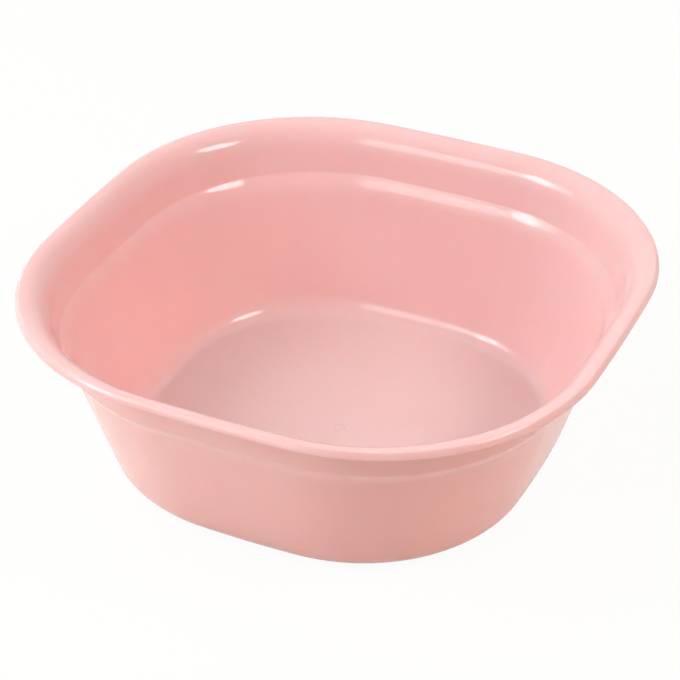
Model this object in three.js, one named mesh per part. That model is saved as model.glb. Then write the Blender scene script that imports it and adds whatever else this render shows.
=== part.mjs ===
// Foot washing basin: one moulded shell with an even wall, on a rounded-square plan.
// Millimetres, +Z up. The origin is the middle of the standing face under the base.
//
// A section through the middle of a side is drawn once, as straight runs with a soft curve at each corner.
// The visible skin goes from the lip over the rolled rim, down the collar, over the stacking ledge and
// down the wall to the floor. The hidden skin is the same runs moved out by the wall's thickness.
// Each point of the section then becomes a rounded-square ring, and the rings are lofted into one body.

import * as THREE from 'three';

// Overall size
const WIDTH = 380; // across the flats, outside the lip
const HEIGHT = 130; // standing face to the crest of the rim
const WALL = 2.2; // one thickness all over, as moulding asks, and a little more at the bottom's corner

// Plan: four bowed sides and four corner arcs, given at the lip and at the base
const RIM_CORNER_RADIUS = 143.5;
const RIM_SIDE_RADIUS = 1640;
const BASE_CORNER_RADIUS = 107.6;
const BASE_SIDE_RADIUS = 712;
const WIDEST_CORNER = 0.97; // a corner arc takes at most this share of the half width

// Corners of the section are soft curves. A reach is how far a curve runs from its corner along a leg.
const FULLNESS = 0.62; // share of a reach where a curve's handle stands, fuller towards 1

// Rim: a small turned-down lip and a broad roll
const LIP_DROP = 4.4; // crest to the lower edge of the lip
const LIP_EDGE_REACH = 0.7;
const CREST_EDGE_REACH = 1.3; // outer top edge
const RIM_WIDTH = 14.7; // lip face to the collar's line, measured at the crest
const ROLL_CREST_REACH = 13.1;
const ROLL_COLLAR_REACH = 16.2;

// Collar and stacking ledge
const COLLAR_DRAFT = 15.1; // degrees from upright
const LEDGE_DROP = 34.8; // crest to the middle of the ledge
const LEDGE_WIDTH = 2.85; // collar to wall, measured level
const LEDGE_SLOPE = 51.6; // degrees from level
const LEDGE_HOLLOW_REACH = 0.8; // inside corner under the collar
const LEDGE_NOSE_REACH = 6.3; // rounded front edge of the ledge

// Wall, floor and standing ring
const WALL_DRAFT = 16.4; // degrees from upright
const BOTTOM_WALL_REACH = 17.5; // the bottom's inside curve, up the wall
const BOTTOM_FLOOR_REACH = 9.8; // and along the floor
const BOTTOM_FULLNESS = 0.68;
const FOOT_REACH = 12.9; // the curve outside it, both ways
const FOOT_RISE = 0.8; // the underside lies this far above the standing ring
const FOOT_BAND = 7; // width of the standing ring
const FOOT_BEVEL = 1.2; // level width of the ring's inner edge

// Fineness of the facets
const CHORD_ERROR = 0.07; // furthest that a facet of the section leaves its curve
const SIDE_STEPS = 6;
const CORNER_STEPS = 12;
const FLOOR_RINGS = 2; // extra rings between the floor's edge and its middle
const SAME_POINT = 1e-4;

// Finish
const BASIN_PINK = 0xf2b2ab;
const BASIN_ROUGHNESS = 0.32;

const HALF_WIDTH = WIDTH / 2;
const LEVEL = 0;
const UPRIGHT = Math.PI / 2;
const FLOOR_LEVEL = FOOT_RISE + WALL;

// A straight run of the section, through a point (inset from the lip face, height), falling inwards
// at an angle from level.
function run(inset, height, fall) {
  return {
    point: new THREE.Vector2(inset, height),
    along: new THREE.Vector2(Math.cos(fall), -Math.sin(fall)),
  };
}

// The same run moved square to itself, towards the hidden side of the wall.
function hidden(visibleRun) {
  const { point, along } = visibleRun;
  const towardsHidden = new THREE.Vector2(along.y, -along.x);
  return { point: point.clone().addScaledVector(towardsHidden, WALL), along };
}

// The point where two runs cross.
function meeting(first, second) {
  const between = second.point.clone().sub(first.point);
  const distance = between.cross(second.along) / first.along.cross(second.along);
  return first.point.clone().addScaledVector(first.along, distance);
}

// A corner of the section and the reaches of the curve that rounds it.
function corner(point, before = 0, after = before, fullness = FULLNESS) {
  return { point, before, after, fullness };
}

// The hidden side of a corner of two visible runs. Its reaches are longer at a hollow and shorter at a
// nose, which keeps the wall even. The hidden skin is drawn upwards, so the two reaches change places.
function hiddenCorner(first, second, reachOnFirst, reachOnSecond = reachOnFirst) {
  const turn = Math.atan2(first.along.cross(second.along), first.along.dot(second.along));
  const extra = WALL * Math.tan(turn / 2);
  return corner(meeting(hidden(first), hidden(second)), reachOnSecond + extra, reachOnFirst + extra);
}

// The straight runs of the visible skin, and the face that the basin stands on.
function sectionRuns() {
  const collarFall = UPRIGHT - THREE.MathUtils.degToRad(COLLAR_DRAFT);
  const wallFall = UPRIGHT - THREE.MathUtils.degToRad(WALL_DRAFT);
  const ledgeFall = THREE.MathUtils.degToRad(LEDGE_SLOPE);
  const ledgeHeight = HEIGHT - LEDGE_DROP;
  const collarFoot = RIM_WIDTH + LEDGE_DROP / Math.tan(collarFall);
  return {
    crest: run(0, HEIGHT, LEVEL),
    collar: run(RIM_WIDTH, HEIGHT, collarFall),
    ledge: run(collarFoot + LEDGE_WIDTH / 2, ledgeHeight, ledgeFall),
    wall: run(collarFoot + LEDGE_WIDTH, ledgeHeight, wallFall),
    floor: run(0, FLOOR_LEVEL, LEVEL),
    standing: run(0, 0, LEVEL),
  };
}

// Every corner of the closed section, from the middle of the underside, up the outside, over the lip
// and down the inside to the middle of the floor.
function sectionCorners({ crest, collar, ledge, wall, floor, standing }) {
  const outerFoot = meeting(hidden(wall), standing);
  const bandEdge = outerFoot.x + FOOT_REACH + FOOT_BAND;
  const lipFoot = HEIGHT - LIP_DROP;
  return [
    corner(new THREE.Vector2(HALF_WIDTH, FOOT_RISE)),
    corner(new THREE.Vector2(bandEdge + FOOT_BEVEL, FOOT_RISE)),
    corner(new THREE.Vector2(bandEdge, 0)),
    corner(outerFoot, FOOT_REACH),
    hiddenCorner(ledge, wall, LEDGE_NOSE_REACH),
    hiddenCorner(collar, ledge, LEDGE_HOLLOW_REACH),
    hiddenCorner(crest, collar, ROLL_CREST_REACH, ROLL_COLLAR_REACH),
    corner(new THREE.Vector2(WALL, HEIGHT - WALL)),
    corner(new THREE.Vector2(WALL, lipFoot), LIP_EDGE_REACH),
    corner(new THREE.Vector2(0, lipFoot), LIP_EDGE_REACH),
    corner(new THREE.Vector2(0, HEIGHT), CREST_EDGE_REACH),
    corner(meeting(crest, collar), ROLL_CREST_REACH, ROLL_COLLAR_REACH),
    corner(meeting(collar, ledge), LEDGE_HOLLOW_REACH),
    corner(meeting(ledge, wall), LEDGE_NOSE_REACH),
    corner(meeting(wall, floor), BOTTOM_WALL_REACH, BOTTOM_FLOOR_REACH, BOTTOM_FULLNESS),
    corner(new THREE.Vector2(HALF_WIDTH, FLOOR_LEVEL)),
  ];
}

// A path through the corners, each rounded by a curve with a handle on both legs. Where two curves
// would not fit on the leg between them, both shrink to share it.
function roundedPath(corners) {
  const legShare = (index) => {
    const leg = corners[index].point.distanceTo(corners[index + 1].point);
    const wanted = corners[index].after + corners[index + 1].before;
    return wanted > leg ? leg / wanted : 1;
  };
  const path = new THREE.Path();
  path.moveTo(corners[0].point.x, corners[0].point.y);
  for (let index = 1; index < corners.length - 1; index += 1) {
    const { point, before, after, fullness } = corners[index];
    if (before === 0) {
      path.lineTo(point.x, point.y);
      continue;
    }
    const share = Math.min(legShare(index - 1), legShare(index));
    const towards = (other, reach) => other.point.clone().sub(point).setLength(reach * share).add(point);
    const start = towards(corners[index - 1], before);
    const end = towards(corners[index + 1], after);
    const startHandle = start.clone().lerp(point, fullness);
    const endHandle = end.clone().lerp(point, fullness);
    path.lineTo(start.x, start.y);
    path.bezierCurveTo(startHandle.x, startHandle.y, endHandle.x, endHandle.y, end.x, end.y);
  }
  const last = corners[corners.length - 1].point;
  path.lineTo(last.x, last.y);
  return path;
}

// How many facets a piece of the path needs to stay within the chord error. A straight run needs one.
// A facet leaves its curve by about an eighth of its length times its turn.
function facetCount(curve) {
  const turn = curve.getTangent(0).angleTo(curve.getTangent(1));
  const bulge = (curve.getLength() * turn) / 8;
  return Math.max(1, Math.ceil(Math.sqrt(bulge / CHORD_ERROR)));
}

// Points along a path: the ends of its straight runs, and even steps on its curves.
function pathPoints(path) {
  const points = [];
  for (const curve of path.curves) {
    for (const point of curve.getPoints(facetCount(curve))) {
      const previous = points[points.length - 1];
      if (!previous || previous.distanceTo(point) > SAME_POINT) points.push(point);
    }
  }
  return points;
}

// A rounded square around the axis, as counter-clockwise points: each side is a flat arc that runs
// tangent into the corner arcs.
function roundedSquare(halfWidth, cornerRadius, sideRadius) {
  const radius = Math.min(cornerRadius, halfWidth * WIDEST_CORNER);
  const centres = sideRadius - radius;
  const join = Math.acos((sideRadius - halfWidth) / (centres * Math.SQRT2)) - Math.PI / 4;
  const cornerCentre = centres * Math.sin(join);
  const quarter = new THREE.Path();
  quarter.absarc(halfWidth - sideRadius, 0, sideRadius, -join, join, false);
  quarter.absarc(cornerCentre, cornerCentre, radius, join, Math.PI / 2 - join, false);
  const [side, bend] = quarter.curves.filter((curve) => curve.isEllipseCurve);
  const quarterPoints = [
    ...side.getPoints(SIDE_STEPS).slice(0, -1),
    ...bend.getPoints(CORNER_STEPS).slice(0, -1),
  ];
  const middle = new THREE.Vector2();
  return [0, 1, 2, 3].flatMap((quarterTurns) =>
    quarterPoints.map((point) => point.clone().rotateAround(middle, (quarterTurns * Math.PI) / 2)),
  );
}

// Makes the ring for a point of the section. The plan's radii blend by inset, from the lip to where the
// outer wall's line meets the standing face. Sides blend by curvature. Inside the floor's edge, rings
// only shrink towards the middle.
function ringMaker(insetAtBase, insetAtFloorEdge) {
  return (section) => {
    const planInset = Math.min(section.x, insetAtFloorEdge);
    const depth = planInset / insetAtBase;
    const cornerRadius = THREE.MathUtils.lerp(RIM_CORNER_RADIUS, BASE_CORNER_RADIUS, depth);
    const sideBow = THREE.MathUtils.lerp(1 / RIM_SIDE_RADIUS, 1 / BASE_SIDE_RADIUS, depth);
    const outline = roundedSquare(HALF_WIDTH - planInset, cornerRadius, 1 / sideBow);
    const shrink = (HALF_WIDTH - section.x) / (HALF_WIDTH - planInset);
    return outline.map((point) => new THREE.Vector3(point.x * shrink, point.y * shrink, section.y));
  };
}

// Rings between the flat floor's edge and its middle, so that no facet spans the whole floor.
function floorPoints(edge) {
  const points = [];
  for (let ring = 1; ring <= FLOOR_RINGS; ring += 1) {
    const share = ring / (FLOOR_RINGS + 1);
    points.push(new THREE.Vector2(THREE.MathUtils.lerp(edge.x, HALF_WIDTH, share), edge.y));
  }
  return points;
}

// One closed body: rings joined in order, and a fan to the middle point at each end.
function loft(startMiddle, rings, endMiddle) {
  const around = rings[0].length;
  const positions = [startMiddle, ...rings.flat(), endMiddle].flatMap((point) => point.toArray());
  const first = (ring) => 1 + ring * around;
  const end = first(rings.length);
  const triangles = [];
  for (let here = 0; here < around; here += 1) {
    const next = (here + 1) % around;
    triangles.push(0, first(0) + next, first(0) + here);
    for (let ring = 0; ring < rings.length - 1; ring += 1) {
      const low = first(ring);
      const high = first(ring + 1);
      triangles.push(low + here, low + next, high + next);
      triangles.push(low + here, high + next, high + here);
    }
    const last = first(rings.length - 1);
    triangles.push(last + here, last + next, end);
  }
  const geometry = new THREE.BufferGeometry();
  geometry.setAttribute('position', new THREE.Float32BufferAttribute(positions, 3));
  geometry.setIndex(triangles);
  geometry.computeVertexNormals();
  return geometry;
}

function basinShell() {
  const runs = sectionRuns();
  const section = pathPoints(roundedPath(sectionCorners(runs)));
  const [underMiddle, underEdge] = section;
  const floorEdge = section[section.length - 2];
  const floorMiddle = section[section.length - 1];
  const baseInset = meeting(hidden(runs.wall), runs.standing).x;
  const ring = ringMaker(baseInset, Math.max(underEdge.x, floorEdge.x));
  const stations = [
    ...floorPoints(underEdge).reverse(),
    ...section.slice(1, -1),
    ...floorPoints(floorEdge),
  ];
  const geometry = loft(
    new THREE.Vector3(0, 0, underMiddle.y),
    stations.map(ring),
    new THREE.Vector3(0, 0, floorMiddle.y),
  );
  const plastic = new THREE.MeshStandardMaterial({
    color: BASIN_PINK,
    roughness: BASIN_ROUGHNESS,
    metalness: 0,
  });
  const mesh = new THREE.Mesh(geometry, plastic);
  mesh.name = 'basin_shell';
  return mesh;
}

const basin = new THREE.Group();
basin.name = 'foot_washing_basin';
basin.add(basinShell());

export default basin;
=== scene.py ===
"""Visual model of a rounded-square foot washing basin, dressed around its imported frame.

The one moulded shell is rebuilt finely from the solid's section and plan, with a softer bead on its
lip. It gets a glossy pink plastic finish with a matt floor, and stands in a plain white studio.
"""

import logging
import math
from dataclasses import dataclass
from enum import Enum

import bpy
from mathutils import Matrix, Vector
from mathutils.geometry import interpolate_bezier


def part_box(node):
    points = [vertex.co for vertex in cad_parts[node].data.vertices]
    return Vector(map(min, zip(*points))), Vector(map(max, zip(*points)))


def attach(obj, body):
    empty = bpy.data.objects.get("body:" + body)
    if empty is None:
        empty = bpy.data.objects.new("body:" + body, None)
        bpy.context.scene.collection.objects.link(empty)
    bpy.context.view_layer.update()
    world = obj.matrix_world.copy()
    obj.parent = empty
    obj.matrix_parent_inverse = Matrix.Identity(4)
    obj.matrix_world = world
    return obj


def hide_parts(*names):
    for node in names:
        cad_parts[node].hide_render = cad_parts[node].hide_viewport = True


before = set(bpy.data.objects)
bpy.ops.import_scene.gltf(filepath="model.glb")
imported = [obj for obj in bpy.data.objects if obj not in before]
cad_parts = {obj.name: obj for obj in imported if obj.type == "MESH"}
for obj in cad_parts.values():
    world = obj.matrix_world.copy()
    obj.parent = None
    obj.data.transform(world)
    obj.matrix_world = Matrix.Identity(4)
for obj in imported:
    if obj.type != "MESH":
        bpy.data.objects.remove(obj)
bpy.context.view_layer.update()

LOG = logging.getLogger("basin")
MM = 0.001
# Share of a curve's reach where its handle stands. Nearer 1 makes a fuller corner.
FULLNESS = 0.62
NOISE_AVERAGE = 0.5
WHITE = (1.0, 1.0, 1.0)
SHELL_NODE = "basin_shell"

Number = "Value | float"
Colour = "tuple[float, float, float] | bpy.types.NodeSocket"


class Mark(Enum):
    """Attributes that the shell carries for its finish, each from 0 to 1."""

    FLOOR = "matt_floor"
    FOOT = "scuffed_foot"
    EDGE = "handled_edge"


class Value:
    """A number socket that adds Math nodes when it is used in an expression."""

    def __init__(self, graph: "Graph", socket: bpy.types.NodeSocket) -> None:
        """Wraps a socket.

        Args:
            graph: The graph that new nodes go into.
            socket: The output socket that holds the number.
        """
        self.graph = graph
        self.socket = socket

    def __add__(self, other: Number) -> "Value":
        """Sum."""
        return self.graph.math("ADD", self, other)

    def __sub__(self, other: Number) -> "Value":
        """Difference."""
        return self.graph.math("SUBTRACT", self, other)

    def __rsub__(self, other: float) -> "Value":
        """Difference from a plain number."""
        return self.graph.math("SUBTRACT", other, self)

    def __mul__(self, other: Number) -> "Value":
        """Product."""
        return self.graph.math("MULTIPLY", self, other)

    def __rmul__(self, other: float) -> "Value":
        """Product with a plain number."""
        return self.graph.math("MULTIPLY", other, self)

    def __truediv__(self, other: Number) -> "Value":
        """Quotient."""
        return self.graph.math("DIVIDE", self, other)

    def __rtruediv__(self, other: float) -> "Value":
        """A plain number over this value."""
        return self.graph.math("DIVIDE", other, self)

    def mixed(self, low: Number, high: Number) -> "Value":
        """Goes from low, where this value is 0, to high, where it is 1."""
        return self * (high - low) + low

    def clipped(self) -> "Value":
        """The value held between 0 and 1."""
        return self.graph.math("MINIMUM", self.graph.math("MAXIMUM", self, 0.0), 1.0)

    def stepped(self, low: float, high: float) -> "Value":
        """A smooth step of this value.

        Args:
            low: Where the step is 0.
            high: Where the step is 1.

        Returns:
            The step, from 0 to 1.
        """
        share = ((self - low) / (high - low)).clipped()
        return share * share * (3.0 - 2.0 * share)


@dataclass(frozen=True)
class Noise:
    """A noise texture: its waves to one unit of the space it is read in, and its finer octaves."""

    scale: float
    detail: float


class Graph:
    """A node tree that is filled from Python."""

    def __init__(self, tree: bpy.types.NodeTree) -> None:
        """Wraps a node tree and empties it."""
        self.tree = tree
        self.tree.nodes.clear()

    def node(
        self, kind: str, settings: dict | None = None, sockets: dict | None = None
    ) -> bpy.types.Node:
        """Adds a node.

        Args:
            kind: The node's type.
            settings: Properties, which are set first.
            sockets: Input name or number to a plain value, a Value or an output socket.

        Returns:
            The node.
        """
        node = self.tree.nodes.new(kind)
        for name, setting in (settings or {}).items():
            setattr(node, name, setting)
        for key, given in (sockets or {}).items():
            source = given.socket if isinstance(given, Value) else given
            if isinstance(source, bpy.types.NodeSocket):
                self.tree.links.new(source, node.inputs[key])
            else:
                node.inputs[key].default_value = source
        return node

    def math(self, operation: str, *operands: Number) -> Value:
        """Adds a Math node.

        Args:
            operation: The node's operation.
            operands: Its operands, in order.

        Returns:
            The result.
        """
        node = self.node("ShaderNodeMath", {"operation": operation}, dict(enumerate(operands)))
        return Value(self, node.outputs[0])

    def noise(self, place: bpy.types.NodeSocket, texture: Noise) -> Value:
        """Adds a noise texture.

        Args:
            place: Where the noise is read, as a vector.
            texture: Its scale and detail.

        Returns:
            The noise, about 0.5 on average.
        """
        sockets = {"Vector": place, "Scale": texture.scale, "Detail": texture.detail}
        return Value(self, self.node("ShaderNodeTexNoise", None, sockets).outputs[0])

    def blend(self, share: Number, first: Colour, second: Colour) -> bpy.types.NodeSocket:
        """Mixes two colours.

        Args:
            share: 0 for the first colour, 1 for the second.
            first: A plain colour or a colour socket.
            second: A plain colour or a colour socket.

        Returns:
            The mixed colour.
        """
        # This node repeats its socket names for each kind of data, so its colour sockets go by number.
        sockets = {0: share, 6: opaque(first), 7: opaque(second)}
        return self.node("ShaderNodeMix", {"data_type": "RGBA"}, sockets).outputs[2]


def opaque(colour: Colour) -> Colour:
    """A plain colour with its alpha added, or a colour socket as it is."""
    return (*colour, 1.0) if isinstance(colour, tuple) else colour


@dataclass(frozen=True)
class Run:
    """A straight run of the section, through a point, falling inwards at an angle from level."""

    inset: float
    height: float
    fall: float = 0.0

    @property
    def point(self) -> Vector:
        """The point that the run goes through, as inset and height."""
        return Vector((self.inset, self.height))

    @property
    def along(self) -> Vector:
        """The run's direction."""
        return Vector((math.cos(self.fall), -math.sin(self.fall)))

    def hidden(self, wall: float) -> "Run":
        """The run on the hidden side of a wall of that thickness."""
        inset, height = self.point + Vector((self.along.y, -self.along.x)) * wall
        return Run(inset, height, self.fall)

    def meets(self, other: "Run") -> Vector:
        """The point where two runs cross.

        Args:
            other: The run that this one crosses.

        Returns:
            The crossing, as inset and height.
        """
        reach = (other.point - self.point).cross(other.along) / self.along.cross(other.along)
        return self.point + self.along * reach


@dataclass(frozen=True)
class Corner:
    """A corner of the section and how far its curve runs along the legs before and after it."""

    point: Vector
    before: float = 0.0
    after: float = 0.0
    fullness: float = FULLNESS

    @classmethod
    def even(cls, point: Vector, reach: float) -> "Corner":
        """A corner whose curve runs equally far along both legs."""
        return cls(point, reach, reach)


@dataclass(frozen=True)
class Fineness:
    """How closely the visual mesh follows its curves and runs."""

    bend_step: float = math.radians(4.2)
    run_step: float = 5.0 * MM
    run_end: float = 0.5 * MM
    side_steps: int = 8
    corner_steps: int = 44

    @property
    def round_steps(self) -> int:
        """Steps once round the basin."""
        return 4 * (2 * self.side_steps + self.corner_steps)


def bend_points(corner: Corner, before: Vector, after: Vector, step: float) -> list[Vector]:
    """Rounds one corner of the section with a curve that has a handle on both legs.

    Args:
        corner: The corner.
        before: The corner before it.
        after: The corner after it.
        step: About the turn of one facet.

    Returns:
        The curve's points, or the bare corner where it isn't rounded.
    """
    if corner.before <= 0.0:
        return [corner.point]
    arriving = (corner.point - before).normalized()
    leaving = (after - corner.point).normalized()
    start = corner.point - arriving * corner.before
    end = corner.point + leaving * corner.after
    count = math.ceil(arriving.angle(leaving) / step)
    handles = [tip.lerp(corner.point, corner.fullness) for tip in (start, end)]
    return interpolate_bezier(start, *handles, end, count + 1)


def run_points(start: Vector, end: Vector, fineness: Fineness) -> list[Vector]:
    """Points between two ends of a straight run, with one close to each end to keep the shading flat.

    Args:
        start: Where the run starts, which isn't repeated.
        end: Where the run ends, which isn't repeated.
        fineness: The spacing to keep.

    Returns:
        The points between the ends.
    """
    length = (end - start).length
    if length < 3 * fineness.run_end:
        return []
    inner = length - 2 * fineness.run_end
    count = math.ceil(inner / fineness.run_step)
    reaches = [fineness.run_end + inner * index / count for index in range(count + 1)]
    return [start.lerp(end, reach / length) for reach in reaches]


@dataclass
class BasinShell:
    """The moulded shell: its sizes, its section and its loft.

    Insets run inwards from the lip's face, and heights up from the standing face.
    """

    half_width: float
    height: float
    wall: float = 2.2 * MM
    rim_corner_radius: float = 143.5 * MM
    rim_side_radius: float = 1640 * MM
    base_corner_radius: float = 107.6 * MM
    base_side_radius: float = 712 * MM
    lip_drop: float = 4.4 * MM
    lip_edge_reach: float = 0.7 * MM
    bead_face_reach: float = 3.7 * MM
    bead_crest_reach: float = 2.6 * MM
    bead_fullness: float = 0.28
    rim_width: float = 14.7 * MM
    roll_crest_reach: float = 12.1 * MM
    roll_collar_reach: float = 16.2 * MM
    collar_draft: float = math.radians(15.1)
    ledge_drop: float = 34.8 * MM
    ledge_width: float = 2.85 * MM
    ledge_slope: float = math.radians(51.6)
    ledge_hollow_reach: float = 0.8 * MM
    ledge_nose_reach: float = 6.3 * MM
    wall_draft: float = math.radians(16.4)
    bottom_wall_reach: float = 17.5 * MM
    bottom_floor_reach: float = 9.8 * MM
    bottom_fullness: float = 0.68
    foot_reach: float = 12.9 * MM
    foot_rise: float = 0.8 * MM
    foot_band: float = 7 * MM
    foot_bevel: float = 1.2 * MM
    gate_radius: float = 3.6 * MM
    gate_groove: float = 1.0 * MM
    gate_depth: float = 0.35 * MM
    gate_nub_radius: float = 1.6 * MM
    gate_nub_height: float = 0.5 * MM
    gate_offset: tuple[float, float] = (-1.25 * MM, -0.57 * MM)
    floor_fade: float = 14.7 * MM
    handled_reach: float = 5.2 * MM
    fineness: Fineness = Fineness()

    @property
    def floor_level(self) -> float:
        """Height of the floor's upper face."""
        return self.foot_rise + self.wall

    def runs(self) -> dict[str, Run]:
        """The straight runs of the visible skin, and the standing face.

        Returns:
            Each run by name.
        """
        upright = math.pi / 2
        ledge_height = self.height - self.ledge_drop
        collar_foot = self.rim_width + self.ledge_drop * math.tan(self.collar_draft)
        return {
            "crest": Run(0.0, self.height),
            "collar": Run(self.rim_width, self.height, upright - self.collar_draft),
            "ledge": Run(collar_foot + self.ledge_width / 2, ledge_height, self.ledge_slope),
            "wall": Run(collar_foot + self.ledge_width, ledge_height, upright - self.wall_draft),
            "floor": Run(0.0, self.floor_level),
            "standing": Run(0.0, 0.0),
        }

    def hidden_corner(self, first: Run, second: Run, on_first: float, on_second: float) -> Corner:
        """The hidden side of a corner of two visible runs, for a skin that is drawn upwards.

        Args:
            first: The visible run above the corner.
            second: The visible run below it.
            on_first: The visible curve's reach along the first run.
            on_second: Its reach along the second run.

        Returns:
            The corner. It reaches further at a hollow and less far at a nose, so the wall stays even.
        """
        extra = self.wall * math.tan((first.fall - second.fall) / 2)
        point = first.hidden(self.wall).meets(second.hidden(self.wall))
        return Corner(point, on_second + extra, on_first + extra)

    def outside_corners(self) -> list[Corner]:
        """Corners from the middle of the underside to the lower edge of the lip.

        Returns:
            The corners in order.
        """
        runs = self.runs()
        crest, collar, ledge, wall = (runs[name] for name in ("crest", "collar", "ledge", "wall"))
        nub_edge = self.half_width - self.gate_nub_radius
        nub_level = self.foot_rise - self.gate_nub_height
        lip_foot = self.height - self.lip_drop
        return [
            Corner(Vector((self.half_width, nub_level))),
            Corner.even(Vector((nub_edge, nub_level)), self.gate_nub_height / 2),
            Corner.even(Vector((nub_edge, self.foot_rise)), self.gate_nub_height / 3),
            Corner.even(Vector((self.recess_inset(), self.foot_rise)), self.foot_rise / 2),
            Corner.even(Vector((self.band_edge(), 0.0)), self.foot_rise / 2),
            Corner.even(wall.hidden(self.wall).meets(runs["standing"]), self.foot_reach),
            self.hidden_corner(ledge, wall, self.ledge_nose_reach, self.ledge_nose_reach),
            self.hidden_corner(collar, ledge, self.ledge_hollow_reach, self.ledge_hollow_reach),
            self.hidden_corner(crest, collar, self.roll_crest_reach, self.roll_collar_reach),
            Corner.even(Vector((self.wall, self.height - self.wall)), self.lip_edge_reach),
            Corner.even(Vector((self.wall, lip_foot)), self.lip_edge_reach),
        ]

    def inside_corners(self) -> list[Corner]:
        """Corners from the lower edge of the lip over the rim to the middle of the floor.

        Returns:
            The corners in order.
        """
        runs = self.runs()
        crest, collar, ledge, wall = (runs[name] for name in ("crest", "collar", "ledge", "wall"))
        lip_foot = Vector((0.0, self.height - self.lip_drop))
        lip_top = Vector((0.0, self.height))
        bottom = wall.meets(runs["floor"])
        groove_outer = self.half_width - self.gate_radius - self.gate_groove / 2
        groove_inner = groove_outer + self.gate_groove
        groove_bottom = Vector((self.half_width - self.gate_radius, self.floor_level - self.gate_depth))
        groove_reach = self.gate_groove / 4
        return [
            Corner.even(lip_foot, self.lip_edge_reach),
            Corner(lip_top, self.bead_face_reach, self.bead_crest_reach, self.bead_fullness),
            Corner(crest.meets(collar), self.roll_crest_reach, self.roll_collar_reach),
            Corner.even(collar.meets(ledge), self.ledge_hollow_reach),
            Corner.even(ledge.meets(wall), self.ledge_nose_reach),
            Corner(bottom, self.bottom_wall_reach, self.bottom_floor_reach, self.bottom_fullness),
            Corner.even(Vector((groove_outer, self.floor_level)), groove_reach),
            Corner.even(groove_bottom, groove_reach),
            Corner.even(Vector((groove_inner, self.floor_level)), groove_reach),
            Corner(Vector((self.half_width, self.floor_level))),
        ]

    def section(self) -> list[Vector]:
        """The whole section, from the middle of the underside to the middle of the floor.

        Returns:
            Points as inset from the lip's face and height.
        """
        corners = self.outside_corners() + self.inside_corners()
        points = [corners[0].point]
        for before, corner, after in zip(corners, corners[1:], corners[2:]):
            bend = bend_points(corner, before.point, after.point, self.fineness.bend_step)
            points += run_points(points[-1], bend[0], self.fineness)
            points += bend
        points += run_points(points[-1], corners[-1].point, self.fineness)
        points.append(corners[-1].point)
        return points

    def base_inset(self) -> float:
        """Inset of the outer wall's line at the standing face, where the base radii hold."""
        runs = self.runs()
        return runs["wall"].hidden(self.wall).meets(runs["standing"]).x

    def floor_edge(self) -> float:
        """Inset where the bottom's curve ends and the flat floor starts."""
        runs = self.runs()
        return runs["wall"].meets(runs["floor"]).x + self.bottom_floor_reach

    def band_edge(self) -> float:
        """Inset of the standing band's inner edge."""
        return self.base_inset() + self.foot_reach + self.foot_band

    def recess_inset(self) -> float:
        """Inset of the recess inside the standing band. Further in, rings only shrink."""
        return self.band_edge() + self.foot_bevel

    def marks(self, points: list[Vector]) -> dict[Mark, list[float]]:
        """How far each point of the section carries each mark.

        Args:
            points: The section.

        Returns:
            One list of shares for each mark.
        """
        crest = max(range(len(points)), key=lambda index: points[index].y)
        fade_start = self.floor_edge() - self.floor_fade / 2
        floor, foot, edge = [], [], []
        for index, point in enumerate(points):
            past = (point.x - fade_start) / self.floor_fade
            floor.append(min(max(past, 0.0), 1.0) if index > crest else 0.0)
            foot.append(1.0 if point.y < self.foot_rise / 2 else 0.0)
            edge.append(min(max(1.0 - point.x / self.handled_reach, 0.0), 1.0))
        return {Mark.FLOOR: floor, Mark.FOOT: foot, Mark.EDGE: edge}

    def section_mesh(self) -> bpy.types.Mesh:
        """The section as a chain of vertices that carry the marks.

        Returns:
            The mesh.
        """
        points = self.section()
        mesh = bpy.data.meshes.new("basin_section")
        edges = [(index, index + 1) for index in range(len(points) - 1)]
        mesh.from_pydata([(point.x, 0.0, point.y) for point in points], edges, [])
        for mark, shares in self.marks(points).items():
            attribute = mesh.attributes.new(mark.value, "FLOAT", "POINT")
            attribute.data.foreach_set("value", shares)
        return mesh

    def build(self, finish: bpy.types.Material) -> bpy.types.Object:
        """Lofts the section round the plan and dresses it.

        Args:
            finish: The shell's material.

        Returns:
            The finished piece.
        """
        draft = bpy.data.objects.new("basin_section", self.section_mesh())
        bpy.context.scene.collection.objects.link(draft)
        loft = ShellLoft(self)
        loft.apply(draft, finish)
        evaluated = draft.evaluated_get(bpy.context.evaluated_depsgraph_get())
        mesh = bpy.data.meshes.new_from_object(evaluated)
        mesh.name = "moulded_basin"
        bpy.data.objects.remove(draft)
        shell = bpy.data.objects.new("moulded_basin", mesh)
        bpy.context.scene.collection.objects.link(shell)
        return shell


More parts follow.
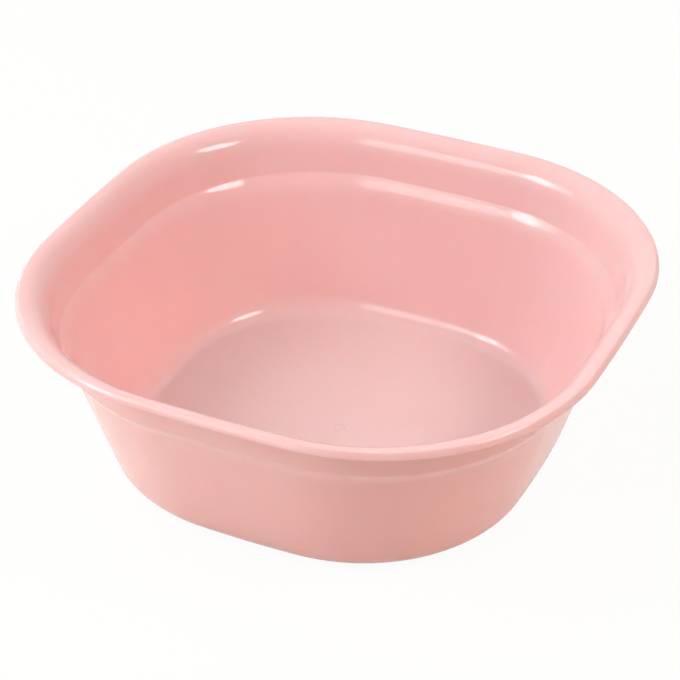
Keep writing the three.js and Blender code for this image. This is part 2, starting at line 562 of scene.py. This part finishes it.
class ShellLoft:
    """Geometry nodes that turn each point of the section into a rounded-square ring."""

    # How far a ring of the floor has shrunk when it has become a plain circle.
    ROUND_FROM = 0.9
    # Points nearer than this are one: where the loft closes, and in the middle of its ends.
    SAME_POINT = 0.001 * MM

    def __init__(self, shell: BasinShell) -> None:
        """Builds the tree for a shell.

        Args:
            shell: The shell whose sizes become the tree's inputs.
        """
        self.sizes = {
            "Half Width": shell.half_width,
            "Rim Corner Radius": shell.rim_corner_radius,
            "Rim Side Radius": shell.rim_side_radius,
            "Base Corner Radius": shell.base_corner_radius,
            "Base Side Radius": shell.base_side_radius,
            "Base Inset": shell.base_inset(),
            "Recess Inset": shell.recess_inset(),
            "Gate Offset X": shell.gate_offset[0],
            "Gate Offset Y": shell.gate_offset[1],
        }
        self.fineness = shell.fineness
        self.tree = bpy.data.node_groups.new("shell_loft", "GeometryNodeTree")
        self.graph = Graph(self.tree)
        self._make_interface()
        self._fill()

    def _make_interface(self) -> None:
        """Gives the tree its named inputs and its output."""
        interface = self.tree.interface
        interface.new_socket("Section", in_out="INPUT", socket_type="NodeSocketGeometry")
        for name in self.sizes:
            interface.new_socket(name, in_out="INPUT", socket_type="NodeSocketFloat")
        interface.new_socket("Finish", in_out="INPUT", socket_type="NodeSocketMaterial")
        interface.new_socket("Shell", in_out="OUTPUT", socket_type="NodeSocketGeometry")

    def _ring_point(self, size: dict[str, Value], inset: Value, share: Value) -> tuple[Value, Value]:
        """A point on the plan's ring at an inset.

        Args:
            size: The tree's number inputs by name.
            inset: Inset of the ring from the lip's face.
            share: How far round the ring the point lies, from 0 to 1.

        Returns:
            The point's x and y.
        """
        graph = self.graph
        plan_inset = graph.math("MINIMUM", inset, size["Recess Inset"])
        depth = plan_inset / size["Base Inset"]
        corner = depth.mixed(size["Rim Corner Radius"], size["Base Corner Radius"])
        bow = depth.mixed(1.0 / size["Rim Side Radius"], 1.0 / size["Base Side Radius"])
        side = 1.0 / bow
        half = size["Half Width"] - plan_inset
        centres = side - corner
        join = graph.math("ARCCOSINE", (side - half) / (centres * math.sqrt(2))) - math.pi / 4
        corner_centre = centres * graph.math("SINE", join)

        quarter = share * 4.0
        turn = graph.math("FLOOR", quarter) * (math.pi / 2)
        within = graph.math("FRACT", quarter)
        side_share = 4 * self.fineness.side_steps / self.fineness.round_steps
        first = (within / side_share).clipped()
        bend = ((within - side_share) / (1 - 2 * side_share)).clipped()
        second = ((within - (1 - side_share)) / side_share).clipped()
        angle = join * (first + second) + (math.pi / 2 - 2.0 * join) * bend
        on_first = graph.math("LESS_THAN", within, side_share)
        on_second = graph.math("GREATER_THAN", within, 1 - side_share)
        on_side = on_first + on_second
        radius = on_side.mixed(corner, side)
        side_centre = half - side
        x = on_side.mixed(corner_centre, side_centre * on_first) + radius * graph.math("COSINE", angle)
        y = on_side.mixed(corner_centre, side_centre * on_second) + radius * graph.math("SINE", angle)

        reach = size["Half Width"] - inset
        shrink = reach / half
        length = graph.math("SQRT", x * x + y * y)
        roundness = (1.0 - shrink).stepped(0.0, self.ROUND_FROM)
        pull = roundness.mixed(shrink, reach / length)
        cosine, sine = graph.math("COSINE", turn), graph.math("SINE", turn)
        placed_x = (x * cosine - y * sine) * pull + size["Gate Offset X"] * roundness
        placed_y = (x * sine + y * cosine) * pull + size["Gate Offset Y"] * roundness
        return placed_x, placed_y

    def _fill(self) -> None:
        """Adds the nodes: a grid of rings and stations, placed on the plan, closed and dressed."""
        graph = self.graph
        given = graph.node("NodeGroupInput")
        section = given.outputs["Section"]
        size = {name: Value(graph, given.outputs[name]) for name in self.sizes}
        counted = graph.node("GeometryNodeAttributeDomainSize", {"component": "MESH"}, {0: section})
        count = Value(graph, counted.outputs["Point Count"])
        columns = self.fineness.round_steps + 1
        grid = graph.node("GeometryNodeMeshGrid", None, {"Vertices X": columns, "Vertices Y": count})
        index = Value(graph, graph.node("GeometryNodeInputIndex").outputs[0])
        column = graph.math("FLOOR", index / count)
        station = index - column * count
        place = graph.node("GeometryNodeInputPosition").outputs[0]
        point = graph.node("ShaderNodeSeparateXYZ", None, {0: self._sample(section, place, station)})
        inset, height = Value(graph, point.outputs["X"]), Value(graph, point.outputs["Z"])
        share = graph.math("FRACT", column / self.fineness.round_steps)
        x, y = self._ring_point(size, inset, share)
        position = graph.node("ShaderNodeCombineXYZ", None, {"X": x, "Y": y, "Z": height}).outputs[0]
        geometry = grid.outputs["Mesh"]
        for mark in Mark:
            geometry = self._carry(mark, section, station, geometry)
        steps = (
            ("GeometryNodeSetPosition", {"Position": position}),
            ("GeometryNodeMergeByDistance", {"Distance": self.SAME_POINT}),
            ("GeometryNodeSetShadeSmooth", {"Shade Smooth": True}),
            ("GeometryNodeRealizeInstances", {}),
            ("GeometryNodeSetMaterial", {"Material": given.outputs["Finish"]}),
        )
        for kind, sockets in steps:
            geometry = graph.node(kind, None, {"Geometry": geometry, **sockets}).outputs[0]
        graph.node("NodeGroupOutput", None, {"Shell": geometry})

    def _sample(
        self, section: bpy.types.NodeSocket, field: bpy.types.NodeSocket, station: Value
    ) -> bpy.types.NodeSocket:
        """Reads a field of the section at a station.

        Args:
            section: The section's geometry.
            field: What is read, a number or a vector.
            station: The point of the section.

        Returns:
            The field's value there.
        """
        kind = "FLOAT_VECTOR" if field.type == "VECTOR" else "FLOAT"
        sockets = {"Geometry": section, "Value": field, "Index": station}
        return self.graph.node("GeometryNodeSampleIndex", {"data_type": kind}, sockets).outputs[0]

    def _carry(
        self, mark: Mark, section: bpy.types.NodeSocket, station: Value, geometry: bpy.types.NodeSocket
    ) -> bpy.types.NodeSocket:
        """Copies a mark from the section to the grid.

        Args:
            mark: The mark.
            section: The section's geometry.
            station: The point of the section that each grid point comes from.
            geometry: The grid.

        Returns:
            The grid with the mark stored.
        """
        name = {"Name": mark.value}
        named = self.graph.node("GeometryNodeInputNamedAttribute", {"data_type": "FLOAT"}, name)
        share = self._sample(section, named.outputs["Attribute"], station)
        sockets = {"Geometry": geometry, "Value": share, **name}
        return self.graph.node("GeometryNodeStoreNamedAttribute", None, sockets).outputs[0]

    def apply(self, draft: bpy.types.Object, finish: bpy.types.Material) -> None:
        """Puts the loft on the section's object.

        Args:
            draft: The object that holds the section.
            finish: The material that the shell gets.
        """
        modifier = draft.modifiers.new("shell_loft", "NODES")
        modifier.node_group = self.tree
        inputs = {**self.sizes, "Finish": finish}
        for item in self.tree.interface.items_tree:
            if item.in_out == "INPUT" and item.name in inputs:
                modifier[item.identifier] = inputs[item.name]


@dataclass(frozen=True)
class MouldedPlastic:
    """Glossy, slightly translucent polypropylene, coloured through, with a finely matt floor."""

    colour: tuple[float, float, float] = (0.78, 0.505, 0.487)
    deep_colour: tuple[float, float, float] = (0.765, 0.49, 0.472)
    scuff_colour: tuple[float, float, float] = (0.80, 0.58, 0.56)
    roughness: float = 0.09
    floor_roughness: float = 0.25
    scuff_roughness: float = 0.45
    roughness_drift: float = 0.04
    edge_dulling: float = 0.1
    edge_wear: float = 0.06
    refraction: float = 1.49
    light_depth: tuple[float, float, float] = (4.0, 1.4, 1.1)
    mottle_noise: Noise = Noise(16.0, 3.0)
    flow_noise: Noise = Noise(1.0, 2.0)
    flow_lines: float = 9.0
    flow_stretch: float = 2.5
    flow_core: float = 1.2 * MM
    flow_share: float = 0.4
    pigment_span: tuple[float, float] = (0.3, 0.7)
    wave_noise: Noise = Noise(38.0, 1.0)
    wave_height: float = 0.02 * MM
    grain_noise: Noise = Noise(1500.0, 2.0)
    grain_height: float = 0.006 * MM
    scuff_noise: Noise = Noise(420.0, 4.0)
    scuff_span: tuple[float, float] = (0.42, 0.62)

    def material(self) -> bpy.types.Material:
        """Builds the material.

        Returns:
            The material.
        """
        material = bpy.data.materials.new("pink_moulded_plastic")
        material.use_nodes = True
        graph = Graph(material.node_tree)
        place = graph.node("ShaderNodeTexCoord").outputs["Object"]
        floor, foot, edge = (self._mark(graph, mark) for mark in Mark)
        rubbed = graph.noise(place, self.scuff_noise).stepped(*self.scuff_span)
        scuffs = foot * rubbed
        mottle = graph.noise(place, self.mottle_noise)
        streaks = self._flow(graph, place)
        pigment = mottle * (1.0 - self.flow_share) + streaks * self.flow_share
        tinted = graph.blend(pigment.stepped(*self.pigment_span), self.deep_colour, self.colour)
        matt = floor.mixed(self.roughness, self.floor_roughness)
        drift = (mottle - NOISE_AVERAGE) * self.roughness_drift
        worn = matt + drift + edge * (rubbed * self.edge_wear + self.edge_dulling)
        waves = graph.noise(place, self.wave_noise) * self.wave_height
        grain = graph.noise(place, self.grain_noise) * floor * self.grain_height
        relief = {"Strength": 1.0, "Distance": 1.0, "Height": waves + grain}
        bump = graph.node("ShaderNodeBump", None, relief)
        sockets = {
            "Base Color": graph.blend(scuffs, tinted, self.scuff_colour),
            "Roughness": scuffs.mixed(worn, self.scuff_roughness),
            "IOR": self.refraction,
            "Subsurface Weight": 1.0,
            "Subsurface Radius": self.light_depth,
            "Subsurface Scale": MM,
            "Normal": bump.outputs[0],
        }
        shader = graph.node("ShaderNodeBsdfPrincipled", None, sockets)
        graph.node("ShaderNodeOutputMaterial", None, {"Surface": shader.outputs[0]})
        return material

    @staticmethod
    def _mark(graph: Graph, mark: Mark) -> Value:
        """One of the shell's marks, as a number."""
        node = graph.node("ShaderNodeAttribute", {"attribute_name": mark.value})
        return Value(graph, node.outputs["Fac"])

    def _flow(self, graph: Graph, place: bpy.types.NodeSocket) -> Value:
        """Faint lines that run out from the middle, as the plastic flowed in the mould.

        Args:
            graph: The material's graph.
            place: Object coordinates.

        Returns:
            The lines, about 0.5 on average.
        """
        spread = graph.node("ShaderNodeSeparateXYZ", None, {0: place})
        x, y, z = (Value(graph, spread.outputs[axis]) for axis in range(3))
        reach = graph.math("SQRT", x * x + y * y + self.flow_core * self.flow_core)
        travel = (reach + z) * self.flow_stretch
        around = {"X": x / reach * self.flow_lines, "Y": y / reach * self.flow_lines, "Z": travel}
        flowed = graph.node("ShaderNodeCombineXYZ", None, around).outputs[0]
        return graph.noise(flowed, self.flow_noise)


@dataclass(frozen=True)
class PhotoCamera:
    """The photograph's viewpoint, found by fitting the basin's outline."""

    azimuth: float = math.radians(24.68)
    elevation: float = math.radians(33.42)
    roll: float = math.radians(0.21)
    distance: float = 1.4572
    aim_height: float = 72.81 * MM
    aim_right: float = -0.65 * MM
    focal_pixels: float = 2242.0
    image_pixels: int = 680
    sensor: float = 36.0

    def place(self) -> bpy.types.Object:
        """Makes the scene's camera.

        Returns:
            The camera object.
        """
        level = math.cos(self.elevation)
        back = Vector((
            math.sin(self.azimuth) * level,
            -math.cos(self.azimuth) * level,
            math.sin(self.elevation),
        ))
        right = Vector((math.cos(self.azimuth), math.sin(self.azimuth), 0.0))
        data = bpy.data.cameras.new("photo_camera")
        data.sensor_width = self.sensor
        data.lens = self.focal_pixels / self.image_pixels * self.sensor
        camera = bpy.data.objects.new("photo_camera", data)
        aim = Vector((0.0, 0.0, self.aim_height)) + right * self.aim_right
        camera.location = aim + back * self.distance
        turn = (-back).to_track_quat("-Z", "Y").to_matrix()
        camera.rotation_euler = (turn @ Matrix.Rotation(self.roll, 3, "Z")).to_euler()
        bpy.context.scene.collection.objects.link(camera)
        bpy.context.scene.camera = camera
        return camera


class LampRole(Enum):
    """Whether a lamp only fills or is also mirrored in the gloss, with the shape that goes with it."""

    FILL = "RECTANGLE"
    HIGHLIGHT = "ELLIPSE"


@dataclass(frozen=True)
class SoftBox:
    """A flat studio lamp on a sphere around the basin, which faces the middle.

    Bearings run from +Y towards +X, in degrees like the elevations. Sizes and distances are in metres.
    """

    name: str
    role: LampRole
    bearing: float
    elevation: float
    size: tuple[float, float]
    power: float
    colour: tuple[float, float, float] = WHITE
    distance: float = 1.8

    def hang(self, aim: Vector) -> bpy.types.Object:
        """Puts the lamp up.

        Args:
            aim: The point that it faces.

        Returns:
            The lamp.
        """
        data = bpy.data.lights.new(self.name, "AREA")
        data.shape = self.role.value
        data.size, data.size_y = self.size
        data.energy = self.power
        data.color = self.colour
        bearing, elevation = math.radians(self.bearing), math.radians(self.elevation)
        level = math.cos(elevation)
        way = Vector((math.sin(bearing) * level, math.cos(bearing) * level, math.sin(elevation)))
        lamp = bpy.data.objects.new(self.name, data)
        lamp.location = aim + way * self.distance
        lamp.rotation_euler = (-way).to_track_quat("-Z", "Y").to_euler()
        lamp.visible_glossy = self.role is LampRole.HIGHLIGHT
        bpy.context.scene.collection.objects.link(lamp)
        return lamp


FILL_SIZE = (1.2, 1.0)
# Distances of the mirrored lamps. The halo hangs behind the window that it surrounds.
NEAR = 1.6
BEHIND_NEAR = 1.62
COOL = (0.9, 0.97, 1.0)
WARM = (1.0, 0.89, 0.8)
ICY = (0.82, 0.96, 1.0)
STUDIO_LAMPS = (
    SoftBox("front_fill", LampRole.FILL, -165.0, 50.0, FILL_SIZE, 5.2, COOL),
    SoftBox("left_fill", LampRole.FILL, -90.0, 36.0, FILL_SIZE, 8.0, COOL),
    SoftBox("back_left_fill", LampRole.FILL, -60.0, 36.0, FILL_SIZE, 5.6, COOL),
    SoftBox("high_left_fill", LampRole.FILL, -115.0, 60.0, FILL_SIZE, 7.0, ICY),
    SoftBox("low_left_fill", LampRole.FILL, -115.0, 9.0, (1.0, 0.4), 7.8, ICY),
    SoftBox("back_fill", LampRole.FILL, 0.0, 36.0, FILL_SIZE, 6.6, COOL),
    SoftBox("right_fill", LampRole.FILL, 90.0, 36.0, FILL_SIZE, 11.8, WARM),
    SoftBox("high_right_fill", LampRole.FILL, 65.0, 60.0, FILL_SIZE, 2.8, ICY),
    SoftBox("right_window", LampRole.HIGHLIGHT, 88.7, 45.5, (0.62, 0.42), 6.2, WHITE, NEAR),
    SoftBox("left_window", LampRole.HIGHLIGHT, -132.0, 33.5, (0.5, 0.5), 4.5, COOL, NEAR),
    SoftBox("left_halo", LampRole.HIGHLIGHT, -130.0, 33.5, (1.1, 0.6), 4.8, COOL, BEHIND_NEAR),
    SoftBox("left_strip", LampRole.HIGHLIGHT, -161.0, 33.0, (0.6, 0.66), 3.4, COOL, NEAR),
)


@dataclass
class WhiteStudio:
    """A white floor and surround with soft lamps.

    The floor lies a hair below the standing face, so that the two never share a plane.
    """

    floor_half: float = 6.0
    floor_level: float = -0.05 * MM
    floor_colour: tuple[float, float, float] = (0.86, 0.76, 0.68)
    surround_strength: float = 0.02
    camera_glow: float = 0.94
    gloss_glow: float = 0.42
    lamps: tuple[SoftBox, ...] = STUDIO_LAMPS

    def floor_material(self) -> bpy.types.Material:
        """White to the eye with the basin's shadow kept, and a plain pale floor to the light.

        Returns:
            The material.
        """
        material = bpy.data.materials.new("studio_floor")
        material.use_nodes = True
        graph = Graph(material.node_tree)
        camera, gloss = self._rays(graph)
        glow_share = graph.math("MAXIMUM", camera * self.camera_glow, gloss * self.gloss_glow)
        pale = graph.node("ShaderNodeBsdfDiffuse", None, {"Color": opaque(self.floor_colour)})
        glow = graph.node("ShaderNodeEmission", None, {"Color": opaque(WHITE), "Strength": 1.0})
        sockets = {0: glow_share, 1: pale.outputs[0], 2: glow.outputs[0]}
        mixed = graph.node("ShaderNodeMixShader", None, sockets)
        graph.node("ShaderNodeOutputMaterial", None, {"Surface": mixed.outputs[0]})
        return material

    @staticmethod
    def _rays(graph: Graph) -> tuple[Value, Value]:
        """What a surface is looked at by.

        Args:
            graph: The graph of a material or of the world.

        Returns:
            1 for a ray of the camera, and 1 for a ray of gloss or transmission.
        """
        path = graph.node("ShaderNodeLightPath")
        names = ("Is Camera Ray", "Is Glossy Ray", "Is Transmission Ray")
        camera, gloss, through = (Value(graph, path.outputs[name]) for name in names)
        return camera, graph.math("MAXIMUM", gloss, through)

    def set_surround(self) -> None:
        """Lights the world evenly, and shows it white."""
        world = bpy.data.worlds.new("white_surround")
        world.use_nodes = True
        graph = Graph(world.node_tree)
        seen = graph.math("MAXIMUM", *self._rays(graph))
        sockets = {"Color": opaque(WHITE), "Strength": seen.mixed(self.surround_strength, 1.0)}
        glow = graph.node("ShaderNodeBackground", None, sockets)
        graph.node("ShaderNodeOutputWorld", None, {"Surface": glow.outputs[0]})
        bpy.context.scene.world = world

    def build(self, aim: Vector) -> bpy.types.Object:
        """Lays the floor and lights the scene.

        Args:
            aim: The point that the lamps face.

        Returns:
            The floor.
        """
        half, level = self.floor_half, self.floor_level
        mesh = bpy.data.meshes.new("studio_floor")
        plan = ((-half, -half), (half, -half), (half, half), (-half, half))
        mesh.from_pydata([(x, y, level) for x, y in plan], [], [(0, 1, 2, 3)])
        mesh.materials.append(self.floor_material())
        floor = bpy.data.objects.new("studio_floor", mesh)
        bpy.context.scene.collection.objects.link(floor)
        for lamp in self.lamps:
            lamp.hang(aim)
        self.set_surround()
        return floor


def main() -> None:
    """Builds the basin, its studio and its camera."""
    logging.basicConfig(level=logging.INFO)
    scene = bpy.context.scene
    scene.view_settings.view_transform = "Standard"
    _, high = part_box(SHELL_NODE)
    shell = BasinShell(half_width=high.x, height=high.z)
    piece = shell.build(MouldedPlastic().material())
    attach(piece, "root")
    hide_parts(SHELL_NODE)
    LOG.info("%s: %d faces", piece.name, len(piece.data.polygons))
    floor = WhiteStudio().build(Vector((0.0, 0.0, shell.height / 2)))
    camera = PhotoCamera().place()
    LOG.info("%s: lens %.1f mm", camera.name, camera.data.lens)


if __name__ == "__main__":
    main()
